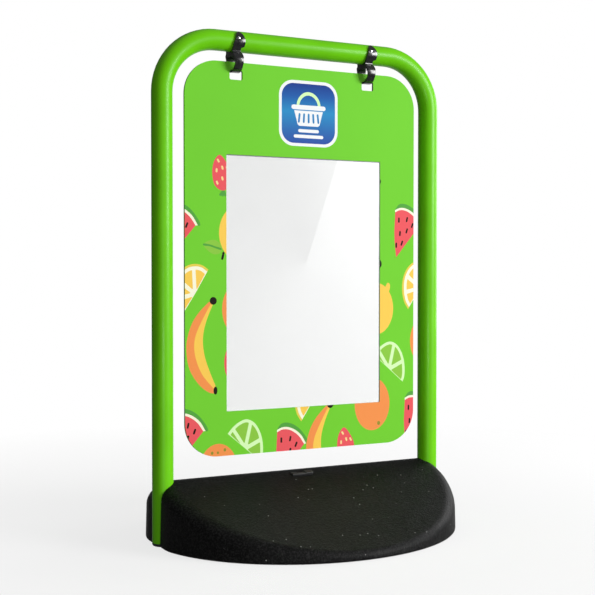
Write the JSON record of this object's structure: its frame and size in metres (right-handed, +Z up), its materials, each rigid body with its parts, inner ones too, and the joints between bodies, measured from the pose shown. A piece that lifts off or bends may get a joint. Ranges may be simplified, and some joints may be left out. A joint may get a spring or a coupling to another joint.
{
  "type": "swinging pavement sign",
  "caption": "Free-standing pavement sign: printed panel with poster windows, swinging on ring hangers from a bent tube hoop held in a heavy lens-shaped moulded base.",
  "frame": {"origin": "floor level at the centre of the footprint", "axes": "+Z up; X along the width, through both legs; -Y is the front face of the sign"},
  "size_m": [0.63, 0.5486, 0.9712],
  "materials": {
    "base_moulding": "grained moulded recycled PVC, near black with fine pale specks",
    "black_moulding": "satin black",
    "green_tube": "gloss lime-green powder coat on bent steel tube",
    "rivet_metal": "bright domed heads",
    "zinc_steel": "zinc plated",
    "hanger_plastic": "glossy black moulded nylon",
    "core_plastic": "dark grey moulded core",
    "green_print": "satin printed green",
    "poster_paper": "matt white insert",
    "clear_cover": "clear anti-glare sheet"
  },
  "bodies": {
    "frame": {"base_block": "base_moulding", "ridge_clip": "black_moulding", "hoop_frame": "green_tube", "leg_end_cap_left": "black_moulding", "leg_end_cap_right": "black_moulding", "leg_bolts": "zinc_steel", "leg_washers": "zinc_steel", "leg_threaded_inserts": "zinc_steel", "hanger_left": "hanger_plastic", "hanger_right": "hanger_plastic", "hanger_rivets": "rivet_metal"},
    "panel": {"panel_core": "core_plastic", "panel_front_sheet": "green_print", "panel_rear_sheet": "green_print", "front_poster": "poster_paper", "rear_poster": "poster_paper"},
    "front_cover": {"front_clear_cover": "clear_cover"},
    "rear_cover": {"rear_clear_cover": "clear_cover"}
  },
  "joints": [
    {"name": "panel_swing", "type": "hinge", "parent": "frame", "child": "panel", "pos_m": [0, 0, 0.914], "axis": [1, 0, 0], "range_deg": [-40, 40]},
    {"name": "front_cover_lift", "type": "hinge", "parent": "panel", "child": "front_cover", "pos_m": [0, -0.00205, 0.73565], "axis": [-1, 0, 0], "range_deg": [0, 95]},
    {"name": "rear_cover_lift", "type": "hinge", "parent": "panel", "child": "rear_cover", "pos_m": [0, 0.00205, 0.73565], "axis": [1, 0, 0], "range_deg": [0, 95]}
  ]
}
